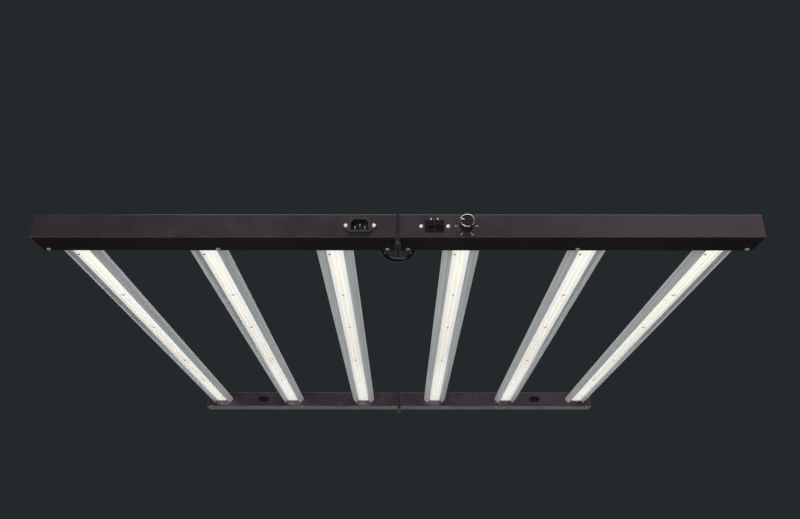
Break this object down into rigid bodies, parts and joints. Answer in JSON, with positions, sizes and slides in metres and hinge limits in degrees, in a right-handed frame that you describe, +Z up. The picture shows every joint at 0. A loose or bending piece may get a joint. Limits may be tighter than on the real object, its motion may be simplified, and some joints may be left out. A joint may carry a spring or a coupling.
{
  "type": "led grow light",
  "caption": "Folding LED grow light: two hinged frame halves of dark box beams carry parallel light bars, with a mains inlet, data ports and a dimmer knob.",
  "frame": {"origin": "bottom centre of the opened lamp: on the fold line, midway along the bars between the knob face and the plain beam, at the height of the hinge barrels' lowest line", "axes": "+X along the beams and across the fold, from the inlet half to the knob half; +Y along the light bars, from the control beam to the plain beam; +Z up, away from the light-giving side"},
  "size_m": [1.041, 1.1244, 0.0498],
  "materials": {
    "beam_paint": "satin powder coat, near black",
    "hinge_paint": "satin powder coat with worn bare edges",
    "pin_steel": "turned steel",
    "screw_steel": "polished, nickel plated",
    "bar_aluminium": "satin anodised extrusion",
    "led_board": "white solder mask",
    "lens_clear": "clear extruded cover",
    "led_phosphor": "pale yellow phosphor under clear resin",
    "inlet_plastic": "moulded black plastic",
    "pin_plating": "nickel plated",
    "port_plastic": "moulded black plastic",
    "contact_gold": "gold plated",
    "knob_plastic": "moulded black plastic",
    "knob_chrome": "polished",
    "circuit_board": "green solder mask",
    "driver_case": "plain extruded case",
    "harness_sheath": "white insulated leads",
    "gland_plastic": "moulded black nylon",
    "lead_sheath": "glossy black sheath",
    "plug_rubber": "moulded black rubber",
    "insert_steel": "zinc plated"
  },
  "bodies": {
    "left_half": {"bar_1_boards": "led_board", "bar_1_body": "bar_aluminium", "bar_1_lens": "lens_clear", "bar_2_boards": "led_board", "bar_2_body": "bar_aluminium", "bar_2_lens": "lens_clear", "bar_3_boards": "led_board", "bar_3_body": "bar_aluminium", "bar_3_lens": "lens_clear", "board_screws_left": "screw_steel", "case_screws_left": "screw_steel", "driver_left": "driver_case", "end_caps_left": "beam_paint", "far_beam_left": "beam_paint", "far_cover_left": "beam_paint", "hanging_inserts_left": "insert_steel", "harness_left": "harness_sheath", "hinge_leaves_left": "hinge_paint", "hinge_pins": "pin_steel", "jumper_lead": "lead_sheath", "lead_gland_left": "gland_plastic", "led_rows_left": "led_phosphor", "near_beam_left": "beam_paint", "near_cover_left": "beam_paint", "oval_plug_left": "plug_rubber", "power_inlet_body": "inlet_plastic", "power_inlet_pins": "pin_plating", "power_inlet_screws": "screw_steel"},
    "right_half": {"bar_4_boards": "led_board", "bar_4_body": "bar_aluminium", "bar_4_lens": "lens_clear", "bar_5_boards": "led_board", "bar_5_body": "bar_aluminium", "bar_5_lens": "lens_clear", "bar_6_boards": "led_board", "bar_6_body": "bar_aluminium", "bar_6_lens": "lens_clear", "board_screws_right": "screw_steel", "case_screws_right": "screw_steel", "control_board": "circuit_board", "data_port_block": "port_plastic", "data_port_contacts": "contact_gold", "data_port_screws": "screw_steel", "dimmer_potentiometer": "pin_steel", "driver_right": "driver_case", "end_caps_right": "beam_paint", "far_beam_right": "beam_paint", "far_cover_right": "beam_paint", "hanging_inserts_right": "insert_steel", "harness_right": "harness_sheath", "hinge_leaves_right": "hinge_paint", "lead_gland_right": "gland_plastic", "led_rows_right": "led_phosphor", "near_beam_right": "beam_paint", "near_cover_right": "beam_paint", "oval_plug_right": "plug_rubber"},
    "dimmer_knob": {"dimmer_knob_shaft": "pin_steel", "dimmer_knob_body": "knob_plastic", "dimmer_knob_ring": "knob_chrome"}
  },
  "joints": [
    {"name": "fold_hinge", "type": "hinge", "parent": "left_half", "child": "right_half", "pos_m": [0, 0, 0.004], "axis": [0, 1, 0], "range_deg": [0, 180], "deforming": ["jumper_lead"]},
    {"name": "dimmer_turn", "type": "hinge", "parent": "right_half", "child": "dimmer_knob", "pos_m": [0.0976, -0.55, 0.0299], "axis": [0, 1, 0], "range_deg": [-82, 218]}
  ]
}
